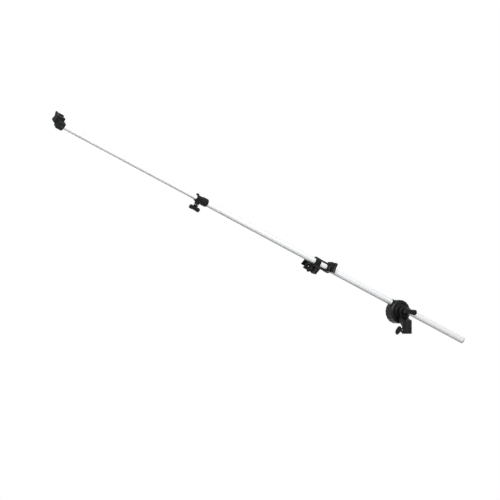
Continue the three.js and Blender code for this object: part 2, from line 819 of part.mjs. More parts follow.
// A rim screw: its group starts at the shoe's face, and its plate lies beyond the open travel
const rimPlateStart = shoeThickness + clipOpening + gap;
const rimPlateEnd = rimPlateStart + clipPlateThickness;
const rimKnobStart = rimPlateEnd + gap + clipClosing;
function rimScrew(parent, prefix) {
  const insert = threadedInsert('z', rimPlateEnd - clipInsertLength, rimPlateEnd);
  piece(prefix + '_insert', insert, blackenedSteel, parent);
  clampScrew(
    parent,
    { shoe: prefix + '_shoe', stud: prefix + '_stud', knob: prefix + '_paddle' },
    rimKnobStart + paddleBoreDepth - gap,
    cut(
      thumbPaddle(rimKnobStart, rimPaddleLength, rimPaddleWidth),
      knobBore(rimKnobStart, paddleBoreDepth)
    )
  );
}
const endPaddleTurn = THREE.MathUtils.degToRad(60);
const endScrew = groupAt(endClip, endScrewPlace, endScrewSide, padTop - padThickness - rimThickness);
endScrew.rotation.x = Math.PI;
const endScrewTurned = groupAt(endScrew);
endScrewTurned.rotation.z = endPaddleTurn;
rimScrew(endScrewTurned, 'end_clip');

// Slider: two rings joined by two rails, with a window between them, on a bush in each ring
const sliderBore = outerTubeRadius + 2 * gap;
const bushPocket = sleeveOuter + gap;
const sliderRingLength = 20;
const sliderRingWall = 4.2;
const sliderRingRadius = bushPocket + sliderRingWall;
const sliderCollarLength = 18;
const sliderCollarWall = 3.7;
const sliderCollarRadius = bushPocket + sliderCollarWall;
const sliderLip = 1.5;
const railThickness = 4.4;
const railOuter = sliderBore + railThickness;
const railHalfWidth = 6;
const lockBlockHalfWidth = 7;
const lockBlockLow = -13;
const lockBlockHigh = 19;
const lockBlockCorner = 3;
const sliderInsertLength = 8;
const sliderRear = sliderCollarCentre + sliderCollarLength / 2;
const sliderWindowRear = sliderCollarCentre - sliderCollarLength / 2;
const sliderWindowFront = sliderRingCentre + sliderRingLength / 2;
const sliderFront = sliderRingCentre - sliderRingLength / 2;
const sliderShoeFace = bushPocket;
const sliderInsertStart = sliderShoeFace + shoeThickness + lockTravel + gap;
const sliderBossEnd = sliderInsertStart + halfGap + sliderInsertLength;

piece(
  'slider_rear_bush',
  sleeve('x', sleeveOuter, sleeveInner, sliderWindowRear, sliderRear - sliderLip - gap, fineSides),
  blackNylon,
  boom
);
piece(
  'slider_front_bush',
  sleeve('x', sleeveOuter, sleeveInner, sliderFront + sliderLip + gap, sliderWindowFront, fineSides),
  blackNylon,
  boom
);

const clipScrewPlace = -11;
const clipScrewSide = -26;
const bracketLeft = -24;
const bracketRight = 29;
const bracketHeelThickness = 7;
const bracketNear = -16;
const bracketFar = -38;
const bracketBackThickness = 6;
const lugLeft = 5;
const lugRight = 18;
const lugThickness = 4.5;
const lugSides = [-21, -31];
const bracketScrewRadius = 2;
const bracketScrewHead = 3.6;
const bracketScrewLength = 5.5;
const clipFrame = groupAt(boom, sliderRingCentre, 0, 0);
clipFrame.rotation.x = rollToFront;
const lugMiddle = (lugLeft + lugRight) / 2;

function atSliderLock(made) {
  return moved(spun(made, 'x', quarterTurn), sliderCollarCentre, 0, 0);
}

function sliderBody() {
  const rear = bevelledRod('x', sliderCollarRadius, sliderWindowRear, sliderRear, clipBevel);
  const ring = bevelledRod('x', sliderRingRadius, sliderFront, sliderWindowFront, clipBevel);
  const rails = common(
    sleeve('x', railOuter, sliderBore, sliderWindowFront - clipBevel, sliderWindowRear + clipBevel),
    block([sliderFront, sliderRear], [-railHalfWidth, railHalfWidth], [-railOuter, railOuter])
  );
  const blockOutline = roundedOutline(
    -lockBlockHalfWidth,
    lockBlockHalfWidth,
    lockBlockLow,
    lockBlockHigh,
    lockBlockCorner
  );
  const lockBlock = solid(raised(blockOutline, 0, sliderBossEnd, clipBevel));
  const shoeHole = rod('z', shoeRadius + gap, 0, sliderInsertStart, smallSides);
  const insertEnds = [sliderInsertStart - over, sliderBossEnd + over];
  const insertHole = rod('z', insertPocketRadius, ...insertEnds, smallSides);
  const lugOutline = roundedOutline(lugLeft, lugRight, bracketFar, 0, clipBevel);
  const lugBlock = solid(raised(lugOutline, gap, gap + lugThickness));
  const lugHole = rod('z', bracketScrewRadius + gap, -over, lugThickness + 2 * over, smallSides);
  const lugHoles = lugSides.map((side) => moved(lugHole, lugMiddle, side, 0));
  const lug = spun(cut(lugBlock, ...lugHoles), 'x', rollToFront);
  return cut(
    join(rear, ring, rails, atSliderLock(lockBlock), moved(lug, sliderRingCentre, 0, 0)),
    rod('x', sliderBore, sliderFront - over, sliderRear + over, fineSides),
    rod('x', bushPocket, sliderFront + sliderLip, sliderWindowFront + gap, fineSides),
    rod('x', bushPocket, sliderWindowRear - gap, sliderRear - sliderLip, fineSides),
    atSliderLock(shoeHole),
    atSliderLock(insertHole)
  );
}
piece('slider_body', sliderBody(), blackPlastic, boom);

const sliderScrew = groupAt(boom, sliderCollarCentre, 0, 0);
sliderScrew.rotation.x = quarterTurn;
const sliderInsert = threadedInsert('z', sliderInsertStart + halfGap, sliderBossEnd);
piece('slider_insert', sliderInsert, blackenedSteel, sliderScrew);
const sliderHandleStart = sliderBossEnd - sliderShoeFace + gap + lockTravel;
const sliderBarPlace = 39;
const sliderBarLength = 32;
const sliderBarThickness = 12;
const sliderScrewTurned = groupAt(sliderScrew, 0, 0, sliderShoeFace);
sliderScrewTurned.rotation.z = quarterTurn;
clampScrew(
  sliderScrewTurned,
  { shoe: 'slider_shoe', stud: 'slider_stud', knob: 'slider_t_knob' },
  sliderHandleStart + handleBoreDepth - gap,
  cut(
    tHandle(sliderHandleStart, sliderBarPlace - sliderShoeFace, sliderBarLength, sliderBarThickness),
    knobBore(sliderHandleStart, handleBoreDepth)
  )
);

// Slider clip: a C-shaped bracket beside the ring, screwed to the ring's lug
const bracketPlateBottom = -clipPlateThickness;
const bracketThroatBottom = bracketPlateBottom - throat;
const bracketBottom = bracketThroatBottom - bracketBackThickness;
const bracketHeelInner = bracketRight - bracketHeelThickness;
function sliderBracket() {
  const jaw = jawOutline([
    [bracketLeft + clipBevel, 0],
    [bracketLeft, -clipBevel],
    [bracketLeft, bracketPlateBottom + clipBevel],
    [bracketLeft + clipBevel, bracketPlateBottom],
    [bracketHeelInner - clipBevel, bracketPlateBottom],
    [bracketHeelInner, bracketPlateBottom - clipBevel],
    [bracketHeelInner, bracketThroatBottom + clipBevel],
    [bracketHeelInner - clipBevel, bracketThroatBottom],
    [bracketLeft + clipBevel, bracketThroatBottom],
    [bracketLeft, bracketThroatBottom - clipBevel],
    [bracketLeft, bracketBottom + clipBevel],
    [bracketLeft + clipBevel, bracketBottom],
    [bracketRight - clipCorner, bracketBottom],
    [bracketRight, bracketBottom + clipCorner],
    [bracketRight, -clipBevel],
    [bracketRight - clipBevel, 0],
  ], bracketFar, bracketNear);
  const insertHole = rod('z', insertPocketRadius, bracketPlateBottom - over, over, smallSides);
  const screwHole = rod('z', bracketScrewRadius + gap, bracketPlateBottom - over, over, smallSides);
  const screwHoles = lugSides.map((side) => moved(screwHole, lugMiddle, side, 0));
  return cut(jaw, moved(insertHole, clipScrewPlace, clipScrewSide, 0), ...screwHoles);
}
piece('slider_clip_bracket', sliderBracket(), greyPlastic, clipFrame);

const sliderPadOutline = roundedOutline(
  bracketLeft + 2 * clipBevel,
  bracketHeelInner - 2 * clipBevel,
  bracketFar + clipBevel,
  bracketNear - clipBevel,
  clipBevel
);
const sliderPadBottom = bracketThroatBottom + gap;
const sliderPadTop = sliderPadBottom + padThickness;
const sliderPad = solid(raised(sliderPadOutline, sliderPadBottom, sliderPadTop));
piece('slider_clip_pad', sliderPad, blackRubber, clipFrame);

lugSides.forEach((side, i) => {
  const headStart = 2 * gap + lugThickness;
  const screw = turned('z', [
    [0, headStart - lugThickness - bracketScrewLength],
    [bracketScrewRadius, headStart - lugThickness - bracketScrewLength],
    [bracketScrewRadius, headStart],
    [bracketScrewHead, headStart],
    [bracketScrewHead, headStart + bracketScrewRadius / 2],
    [bracketScrewRadius, headStart + bracketScrewRadius],
    [0, headStart + bracketScrewRadius],
  ], smallSides);
  piece('slider_clip_screw_' + (i + 1), moved(screw, lugMiddle, side, 0), blackenedSteel, clipFrame);
});

const clipPaddleTurn = THREE.MathUtils.degToRad(75);
const clipScrew = groupAt(clipFrame, clipScrewPlace, clipScrewSide, sliderPadTop + rimThickness);
const clipScrewTurned = groupAt(clipScrew);
clipScrewTurned.rotation.z = clipPaddleTurn;
rimScrew(clipScrewTurned, 'slider_clip');

export default holder;
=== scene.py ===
"""Reflector holder arm: the finished surfaces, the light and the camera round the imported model."""

import json
import math
from collections import namedtuple

import bmesh
import bpy
from mathutils import Matrix, Vector


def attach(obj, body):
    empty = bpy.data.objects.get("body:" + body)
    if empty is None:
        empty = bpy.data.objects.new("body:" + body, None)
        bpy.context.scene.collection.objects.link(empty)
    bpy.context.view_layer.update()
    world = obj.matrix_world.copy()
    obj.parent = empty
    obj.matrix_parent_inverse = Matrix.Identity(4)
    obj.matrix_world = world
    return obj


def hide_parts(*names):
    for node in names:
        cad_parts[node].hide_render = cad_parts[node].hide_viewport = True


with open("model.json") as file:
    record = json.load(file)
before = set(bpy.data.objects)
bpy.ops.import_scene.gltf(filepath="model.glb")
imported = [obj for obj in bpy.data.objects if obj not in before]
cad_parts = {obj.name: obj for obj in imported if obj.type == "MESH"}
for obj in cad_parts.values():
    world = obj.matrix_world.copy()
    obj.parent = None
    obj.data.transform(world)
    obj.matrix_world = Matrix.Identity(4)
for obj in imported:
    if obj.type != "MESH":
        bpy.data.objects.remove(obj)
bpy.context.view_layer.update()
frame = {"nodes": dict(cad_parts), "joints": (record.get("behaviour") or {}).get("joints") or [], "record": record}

bl_info = {
    "name": "Reflector Holder Arm",
    "version": (1, 0, 0),
    "blender": (4, 5, 0),
    "location": "View3D > Sidebar > Holder Arm",
    "description": "Dresses a telescopic reflector holder arm and lights it",
    "category": "Object",
}

JOINTS = {joint["name"]: joint for joint in frame["joints"]}
NODE_BODY = {
    node: body
    for body, nodes in frame["record"]["behaviour"]["bodies"].items()
    for node in nodes
}
NODE_SLOT = {part["node"]: part["material_slot"] for part in frame["record"]["subparts"]}
CENTRE = Vector(JOINTS["boom_roll"]["pos_m"])
ARM = Vector(JOINTS["boom_slide"]["axis"]).normalized()
ARM_TILT = math.atan2(-ARM.z, ARM.x)

# Nodes by the way in which they are dressed, turned ones with the place of their axis

TUBE_NODES = ("outer_tube", "inner_tube", "drum_liner", "slider_rear_bush", "slider_front_bush")
TURNED_NODES = {
    "friction_washer": "drum_pivot",
    "head_knob_washer": "drum_pivot",
    "drum_cap": "drum_pivot",
    "end_clip_rivet": "rivet",
    "inner_guide_bush": "inner_roll",
    "socket_screw_shoe": "socket_screw_spin",
    "socket_screw_insert": "socket_screw_spin",
    "lock_shoe": "lock_spin",
    "lock_insert": "lock_spin",
    "end_clip_shoe": "end_clip_spin",
    "end_clip_insert": "end_clip_spin",
    "slider_shoe": "slider_lock_spin",
    "slider_insert": "slider_lock_spin",
    "slider_clip_shoe": "slider_clip_spin",
    "slider_clip_insert": "slider_clip_spin",
}
STUD_NODES = {
    "socket_screw_stud": "socket_screw_spin",
    "lock_stud": "lock_spin",
    "end_clip_stud": "end_clip_spin",
    "slider_stud": "slider_lock_spin",
    "slider_clip_stud": "slider_clip_spin",
}
CLIP_SCREWS = ("slider_clip_screw_1", "slider_clip_screw_2")
BOLT = "pivot_bolt"
NUT = "head_knob_insert"
HANDLE_SIDES = 12
CAST_NODES = ("head_base", "drum_inner_half", "drum_outer_half")
MOULDED_NODES = (
    "lock_collar",
    "slider_body",
    "end_clip_bracket",
    "slider_clip_bracket",
    "head_t_knob",
    "lock_t_knob",
    "slider_t_knob",
    "socket_screw_paddle",
    "end_clip_paddle",
    "slider_clip_paddle",
    "tail_plug",
    "end_clip_pad",
    "slider_clip_pad",
)
# A round as modelled, and the radius of the form inside it
Round = namedtuple("Round", "place radius sides inner", defaults=(0.0,))
ROUNDS = {
    "head_base": (
        Round("drum_pivot", radius=0.018, sides=32, inner=0.006),
        Round("stand", radius=0.0157, sides=32, inner=0.010),
        Round("socket_screw_spin", radius=0.008, sides=24),
    ),
    "drum_inner_half": (Round("drum_pivot", radius=0.031, sides=32),),
    "drum_outer_half": (Round("drum_pivot", radius=0.031, sides=32),),
    "slider_body": (Round("arm", radius=0.0155, sides=24, inner=0.0118),),
    "lock_collar": (
        Round("arm", radius=0.0133, sides=24, inner=0.010),
        Round("lock_spin", radius=0.008, sides=24),
    ),
    "tail_plug": (Round("arm", radius=0.0095, sides=24),),
    "socket_screw_paddle": (Round("socket_screw_spin", radius=0.005, sides=HANDLE_SIDES),),
    "end_clip_paddle": (Round("end_clip_spin", radius=0.005, sides=HANDLE_SIDES),),
    "slider_clip_paddle": (Round("slider_clip_spin", radius=0.005, sides=HANDLE_SIDES),),
    "head_t_knob": (Round("head_knob_spin", radius=0.010875, sides=HANDLE_SIDES),),
    "lock_t_knob": (Round("lock_spin", radius=0.0075, sides=HANDLE_SIDES),),
    "slider_t_knob": (Round("slider_lock_spin", radius=0.0075, sides=HANDLE_SIDES),),
}
# Nodes whose flat sides are square to a joint's axis and to the arm
SQUARE_TO = {
    "lock_collar": "lock_spin",
    "lock_t_knob": "lock_spin",
    "slider_body": "slider_lock_spin",
    "slider_t_knob": "slider_lock_spin",
    "slider_clip_bracket": "slider_clip_spin",
    "slider_clip_pad": "slider_clip_spin",
    "slider_clip_paddle": "slider_clip_spin",
    "end_clip_bracket": "end_clip_spin",
    "end_clip_pad": "end_clip_spin",
    "end_clip_paddle": "end_clip_spin",
    "tail_plug": "lock_spin",
}

# Limits of the mesh work, with distances in metres and angles in radians

MERGE_DISTANCE = 2e-6
PLANE_DISTANCE = 1e-7
SMALLEST_REACH = 1e-6
SAME_RADIUS = 2e-5
SAME_ANGLE = 0.03
SAME_SIDE = 0.01
ANGLE_DIGITS = 2
FEWEST_CORNERS = 4
ROUND_MARGIN = 0.002
ROUND_SLACK = 1.01
TIP_SHARE = 0.9
BAR_SHARE = 0.6
SOFTEN_SHARE = 0.5
BEVEL_SEGMENTS = 2
BEVEL_ANGLE = math.radians(35)
SHARP_ANGLE = math.radians(32)
THREAD_RINGS = 8
FEWEST_CUTS = 2
FLANK_SHARE = 0.5
RIM_SHARE = 0.4
DOME_RINGS = 24


# What a user can change


def length(name, description, default):
    """A length in metres that a user can change."""
    return bpy.props.FloatProperty(
        name=name, description=description, default=default, precision=5, unit="LENGTH"
    )


def colour(name, description, default):
    """A colour that a user can change."""
    return bpy.props.FloatVectorProperty(
        name=name, description=description, subtype="COLOR", size=3, default=default, min=0, max=1
    )


class ArmSizes(bpy.types.PropertyGroup):
    """Sizes of the finish that a user would change"""

    round_sides: bpy.props.IntProperty(
        name="Round sides", description="Sides of a turned form", default=96, min=24
    )
    cast_grain: length("Casting grain", "Voxel size at which castings are softened", 0.0006)
    mould_grain: length("Moulding grain", "Voxel size at which moulded parts are softened", 0.00045)
    soften_rounds: bpy.props.IntProperty(
        name="Soften rounds", description="Smoothing passes on a softened form", default=6
    )
    paddle_rounds: bpy.props.IntProperty(
        name="Paddle rounds", description="Smoothing passes on a thumb paddle", default=24
    )
    thread_pitch: length("Thread pitch", "Pitch of the lock screws", 0.001)
    bolt_pitch: length("Bolt pitch", "Pitch of the pivot bolt", 0.00125)
    bolt_thread: length("Bolt thread", "Threaded length of the pivot bolt", 0.024)
    thread_depth_share: bpy.props.FloatProperty(
        name="Thread depth", description="Thread depth as a share of its pitch", default=0.5
    )
    edge_bevel: length("Edge bevel", "Bevel on the edges of small turned pieces", 0.00015)
    cross_reach: length("Cross reach", "Half the span of a clip screw's cross", 0.0019)
    cross_width: length("Cross width", "Half the width of a clip screw's cross", 0.00045)
    cross_depth: length("Cross depth", "Depth of a clip screw's cross", 0.0011)
    tube_band: length("Tube band", "Length of one ring of faces on a tube", 0.01)
    tube_bevel: length("Tube bevel", "Bevel on the ends of the tubes", 0.0004)


class ArmColours(bpy.types.PropertyGroup):
    """Colours of the finishes"""

    aluminium: colour("Aluminium", "Satin anodised tubes", (0.84, 0.85, 0.86))
    casting: colour("Casting", "Black paint on the cast head", (0.0055, 0.0064, 0.0059))
    plastic: colour("Plastic", "Black moulded plastic", (0.0048, 0.0058, 0.0051))
    charcoal: colour("Charcoal", "Grey-black moulded plastic", (0.0100, 0.0118, 0.0104))
    rubber: colour("Rubber", "Jaw pads", (0.0060, 0.0062, 0.0062))
    zinc: colour("Zinc", "Zinc plated steel", (0.62, 0.63, 0.65))
    black_steel: colour("Black steel", "Blackened inserts and screws", (0.050, 0.052, 0.055))
    brass: colour("Brass", "Insert of the head knob", (0.58, 0.42, 0.18))
    nylon: colour("Nylon", "Shoes, bushes and sleeve", (0.0120, 0.0125, 0.0120))
    fibre: colour("Fibre", "Friction washer", (0.020, 0.016, 0.013))


class StageSettings(bpy.types.PropertyGroup):
    """Camera, lamps and backdrop"""

    azimuth: bpy.props.FloatProperty(
        name="Azimuth", description="Camera direction", default=math.radians(-34.9), subtype="ANGLE"
    )
    distance: length("Distance", "Camera distance", 70.0)
    frame_width: length("Frame width", "Width of the picture at the aim point", 1.551)
    aim_along_arm: length("Aim along arm", "Level distance of the aim point from the pivot", -0.5614)
    aim_height: length("Aim height", "Height of the aim point", 0.2262)
    floor_height: length("Floor height", "Height of the studio floor", -1.1)
    floor_size: length("Floor size", "Radius of the round floor", 3.0)
    floor_sides: bpy.props.IntProperty(
        name="Floor sides", description="Sides of the round floor", default=96, min=12
    )
    floor_lift: bpy.props.FloatProperty(
        name="Floor lift",
        description="Brightness added to the floor where it is seen",
        default=0.89,
    )
    key_power: bpy.props.FloatProperty(
        name="Key power", description="Soft key lamp, in watts", default=124.0
    )
    fill_power: bpy.props.FloatProperty(
        name="Fill power", description="Small fill lamp, in watts", default=14.0
    )
    sky_strength: bpy.props.FloatProperty(
        name="Sky strength", description="Soft light from above", default=0.30
    )
    sky_low: bpy.props.FloatProperty(
        name="Low sky strength", description="Soft light from below the horizon", default=0.02
    )
    floor_colour: colour("Floor", "Pale studio floor", (0.20, 0.20, 0.20))


# Places and the corners of CAD nodes


def axis_matrix(origin, axis):
    """A frame at origin whose Z runs along axis."""
    turn = Vector((0, 0, 1)).rotation_difference(Vector(axis)).to_matrix().to_4x4()
    return Matrix.Translation(Vector(origin)) @ turn


def turn_to(along, axis):
    """The turn that brings X along one way and Z along an axis that is square to it."""
    return Matrix((along, axis.cross(along), axis)).transposed().to_4x4()


def joint_place(name):
    """A frame on a joint's axis."""
    return axis_matrix(JOINTS[name]["pos_m"], JOINTS[name]["axis"])


def middle_of(node):
    """Mean of a node's corners."""
    corners = frame["nodes"][node].data.vertices
    return sum((v.co for v in corners), Vector()) / len(corners)


def named_place(name):
    """A frame on an axis: the stand's, the arm's, the rivet's or a joint's."""
    if name == "stand":
        return axis_matrix((0, 0, 0), (0, 0, 1))
    if name == "arm":
        return axis_matrix(CENTRE, ARM)
    if name == "rivet":
        return axis_matrix(middle_of("end_clip_rivet"), JOINTS["end_clip_spin"]["axis"])
    return joint_place(name)


def polar(spot):
    """Distance from the Z axis, and angle about it."""
    return math.hypot(spot.x, spot.y), math.atan2(spot.y, spot.x)


def spots_of(node, place):
    """A CAD node's corners, as they lie about a place."""
    back = place.inverted()
    return [back @ v.co for v in frame["nodes"][node].data.vertices]


def span_along(node, origin, axis):
    """Lowest and highest place of a node along an axis from an origin."""
    reach = [(v.co - origin).dot(axis) for v in frame["nodes"][node].data.vertices]
    return min(reach), max(reach)


def radii_about(node, origin, axis):
    """Smallest and largest distance of a node's corners from an axis."""
    offsets = [v.co - origin for v in frame["nodes"][node].data.vertices]
    radii = [(offset - axis * offset.dot(axis)).length for offset in offsets]
    return min(radii), max(radii)


def at_radius(spots, radius):
    """The corners that lie at a radius about the Z axis."""
    return [spot for spot in spots if abs(polar(spot)[0] - radius) < SAME_RADIUS]


# A faceted round: its radius, number of sides, a corner's angle, and its height span
Facets = namedtuple("Facets", "radius sides phase low high")


def facets_of(node, place, radius=None):
    """The facets of a round, by default of the widest one."""
    spots = spots_of(node, place)
    radius = radius or max(polar(spot)[0] for spot in spots)
    corners = at_radius(spots, radius)
    if not corners:
        raise RuntimeError(f"{node} has no round of radius {radius}")
    angles = sorted({round(polar(spot)[1] % math.tau, ANGLE_DIGITS) for spot in corners})
    steps = [b - a for a, b in zip(angles, angles[1:]) if b - a > SAME_ANGLE]
    sides = round(math.tau / min(steps))
    heights = [spot.z for spot in corners]
    return Facets(radius, sides, polar(corners[0])[1], min(heights), max(heights))


def facets_at(node, place, radius, sides):
    """The facets of a round whose radius and sides are known, among other forms."""
    corners = at_radius(spots_of(node, place), radius)
    step = math.tau / sides

    def matching(angle):
        offs = [abs(math.remainder(polar(spot)[1] - angle, step)) for spot in corners]
        return [spot for spot, off in zip(corners, offs) if off < SAME_SIDE]

    best = max((matching(polar(spot)[1]) for spot in corners), key=len, default=[])
    if len(best) < FEWEST_CORNERS:
        raise RuntimeError(f"{node} has no round of radius {radius}")
    heights = [spot.z for spot in best]
    return Facets(radius, sides, polar(best[0])[1], min(heights), max(heights))


def bar_round(node, place):
    """The place and the facets of the bar that lies across the hub of a T-handle."""
    spots = spots_of(node, place)
    far = max(polar(spot)[0] for spot in spots)
    ends = [spot for spot in spots if polar(spot)[0] > TIP_SHARE * far]
    height = (min(spot.z for spot in ends) + max(spot.z for spot in ends)) / 2
    one_end = [spot for spot in ends if spot.xy.dot(ends[0].xy) > 0]
    along = sum((Vector((spot.x, spot.y, 0)) for spot in one_end), Vector()).normalized()
    bar = axis_matrix(place @ Vector((0, 0, height)), place.to_3x3() @ along)
    radius = max(polar(spot)[0] for spot in spots_of(node, bar) if abs(spot.z) > BAR_SHARE * far)
    return bar, facets_at(node, bar, radius, HANDLE_SIDES)._replace(low=-far, high=far)


# Mesh work


def new_object(name, data):
    """An object in the scene that holds a mesh, a lamp or a camera."""
    made = bpy.data.objects.new(name, data)
    bpy.context.scene.collection.objects.link(made)
    return made


def evaluated_mesh(made):
    """The object's mesh with its modifiers applied, as a new plain mesh."""
    graph = bpy.context.evaluated_depsgraph_get()
    return bpy.data.meshes.new_from_object(made.evaluated_get(graph), depsgraph=graph)


def apply_modifiers(made):
    """Turns an object with modifiers into one with a plain mesh."""
    mesh = evaluated_mesh(made)
    made.modifiers.clear()
    made.data = mesh


def copy_of_node(node, name):
    """A copy of a CAD node, with its doubled corners merged."""
    mesh = frame["nodes"][node].data.copy()
    work = bmesh.new()
    work.from_mesh(mesh)
    bmesh.ops.remove_doubles(work, verts=work.verts, dist=MERGE_DISTANCE)
    work.to_mesh(mesh)
    work.free()
    mesh.materials.clear()
    return new_object(name, mesh)


def soften(made, grain, rounds):
    """Gives a sharp form the small fillets of a casting or a moulding."""
    remesh = made.modifiers.new("Grain", "REMESH")
    remesh.mode = "VOXEL"
    remesh.voxel_size = grain
    remesh.use_smooth_shade = True
    smooth = made.modifiers.new("Soften", "SMOOTH")
    smooth.iterations = rounds
    smooth.factor = SOFTEN_SHARE
    apply_modifiers(made)


def turned(name, profile, place):
    """A form revolved about Z from radius and height pairs, then put in place."""
    sides = bpy.context.scene.arm_sizes.round_sides
    angles = [math.tau * i / sides for i in range(sides)]
    work = bmesh.new()
    rings = []
    for radius, height in profile:
        if radius <= 0:
            ring = [(0, 0, height)]
        else:
            ring = [(radius * math.cos(a), radius * math.sin(a), height) for a in angles]
        rings.append([work.verts.new(corner) for corner in ring])
    hollow = profile[0][0] > 0 and profile[-1][0] > 0
    next_rings = rings[1:] + rings[:1] if hollow else rings[1:]
    for low, high in zip(rings, next_rings):
        for i in range(sides):
            j = (i + 1) % sides
            ring = [low[i % len(low)], low[j % len(low)], high[j % len(high)], high[i % len(high)]]
            corners = list(dict.fromkeys(ring))
            if len(corners) > 2:
                work.faces.new(corners)
    bmesh.ops.recalc_face_normals(work, faces=work.faces)
    work.transform(place)
    mesh = bpy.data.meshes.new(name)
    work.to_mesh(mesh)
    work.free()
    made = new_object(name, mesh)
    smooth_shade(made)
    return made


def cut_by_planes(made, planes):
    """Cuts the faces of a mesh along planes, each given by a spot on it and its direction."""
    work = bmesh.new()
    work.from_mesh(made.data)
    for spot, across in planes:
        parts = work.verts[:] + work.edges[:] + work.faces[:]
        cut = {"plane_co": spot, "plane_no": across, "dist": PLANE_DISTANCE}
        bmesh.ops.bisect_plane(work, geom=parts, **cut)
    work.to_mesh(made.data)
    work.free()


def split_facets(made, place, facets, cuts):
    """Cuts a mesh by planes through an axis, so that each facet is several strips."""
    strips = facets.sides * cuts
    turns = [math.tau * i / strips for i in range(strips) if i % cuts]
    angles = [facets.phase + turn for turn in turns if turn < math.pi]
    across = [Vector((-math.sin(angle), math.cos(angle), 0)) for angle in angles]
    cut_by_planes(made, [(place.translation, place.to_3x3() @ way) for way in across])


def ring_cuts(made, place, low, high, spacing):
    """Cuts a rod across its axis, so that a thread can be pushed into it."""
    axis = place.to_3x3() @ Vector((0, 0, 1))
    heights = [low + i * spacing for i in range(1, max(FEWEST_CUTS, int((high - low) / spacing)))]
    cut_by_planes(made, [(place @ Vector((0, 0, height)), axis) for height in heights])


def make_round(made, place, facets, inner=0.0):
    """Moves the facets of a round out to a true circle, and fades out beyond its ends."""
    step = math.tau / facets.sides
    back = place.inverted()
    for v in made.data.vertices:
        spot = back @ v.co
        reach, angle = polar(spot)
        outside = reach - facets.radius * ROUND_SLACK
        past = max(facets.low - spot.z, spot.z - facets.high)
        beyond = max(past, inner - reach, outside, 0.0)
        if beyond < ROUND_MARGIN:
            off = (angle - facets.phase) % step - step / 2
            full = math.cos(off) / math.cos(step / 2) - 1
            grown = 1 + full * (1 - beyond / ROUND_MARGIN)
            v.co = place @ Vector((spot.x * grown, spot.y * grown, spot.z))


def bevelled(made, width):
    """Eases the sharp edges of a form."""
    bevel = made.modifiers.new("Edges", "BEVEL")
    bevel.width = width
    bevel.segments = BEVEL_SEGMENTS
    bevel.limit_method = "ANGLE"
    bevel.angle_limit = BEVEL_ANGLE
    apply_modifiers(made)
    smooth_shade(made)
    return made


def fine_turned(node, name, place, radius=None):
    """A round, eased copy of a turned CAD node, or of the part of it that has the radius."""
    sizes = bpy.context.scene.arm_sizes
    made = copy_of_node(node, name)
    facets = facets_of(node, place, radius)
    cuts = max(FEWEST_CUTS, round(sizes.round_sides / facets.sides))
    split_facets(made, place, facets, cuts)
    make_round(made, place, facets)
    return bevelled(made, sizes.edge_bevel)


def smooth_shade(made):
    """Shades a form smoothly, but for its sharp edges."""
    for face in made.data.polygons:
        face.use_smooth = True
    made.data.set_sharp_from_angle(angle=SHARP_ANGLE)


def finish_piece(made, *nodes):
    """Gives a piece the material of its node's slot and its body, and hides the nodes that it stands for."""
    made.data.materials.clear()
    made.data.materials.append(material_of(nodes[0]))
    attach(made, NODE_BODY[nodes[0]])
    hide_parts(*nodes)


# Node trees


class Wire:
    """A socket or a number in a node tree, with the sums that a pattern needs."""

    def __init__(self, tree, value):
        self.tree = tree
        self.value = value

    def maths(self, operation, *others):
        """The result of a Math node."""
        return self.tree.node("ShaderNodeMath", {"operation": operation}, [self, *others])

    def __add__(self, other):
        return self.maths("ADD", other)

    __radd__ = __add__

    def __mul__(self, other):
        return self.maths("MULTIPLY", other)

    __rmul__ = __mul__

    def __sub__(self, other):
        return self.maths("SUBTRACT", other)

    def __rsub__(self, other):
        return Wire(self.tree, other).maths("SUBTRACT", self)

    def __truediv__(self, other):
        return self.maths("DIVIDE", other)

    def __rtruediv__(self, other):
        return Wire(self.tree, other).maths("DIVIDE", self)

    def __pow__(self, other):
        return self.maths("POWER", other)

    def __abs__(self):
        return self.maths("ABSOLUTE")

    def larger(self, other):
        return self.maths("MAXIMUM", other)

    def between(self, low, high):
        """0 below low, 1 above high."""
        settings = {"interpolation_type": "SMOOTHSTEP"}
        return self.tree.node("ShaderNodeMapRange", settings, [self, low, high, 0.0, 1.0])

    def parts(self):
        """The three parts of a vector."""
        split = self.tree.node("ShaderNodeSeparateXYZ", {}, [self]).value.node
        return [Wire(self.tree, socket) for socket in split.outputs]


class Tree:
    """Adds nodes to a tree and joins them."""

    def __init__(self, tree):
        self.nodes = tree.nodes
        self.links = tree.links

    def node(self, kind, settings, inputs, output=0):
        """A new node with its settings made and its inputs fed."""
        made = self.nodes.new(kind)
        for key, value in settings.items():
            setattr(made, key, value)
        pairs = inputs.items() if isinstance(inputs, dict) else enumerate(inputs)
        for key, value in pairs:
            self.feed(made.inputs[key], value)
        return Wire(self, made.outputs[output])

    def feed(self, socket, value):
        """Links a wire to a socket, or sets the socket's value."""
        value = getattr(value, "value", value)
        if isinstance(value, bpy.types.NodeSocket):
            self.links.new(value, socket)
        elif value is not None:
            socket.default_value = value


# Sockets of a Mix node that mixes colours
MIX_SHARE = 0
MIX_FIRST = 6
MIX_SECOND = 7
MIX_RESULT = 2


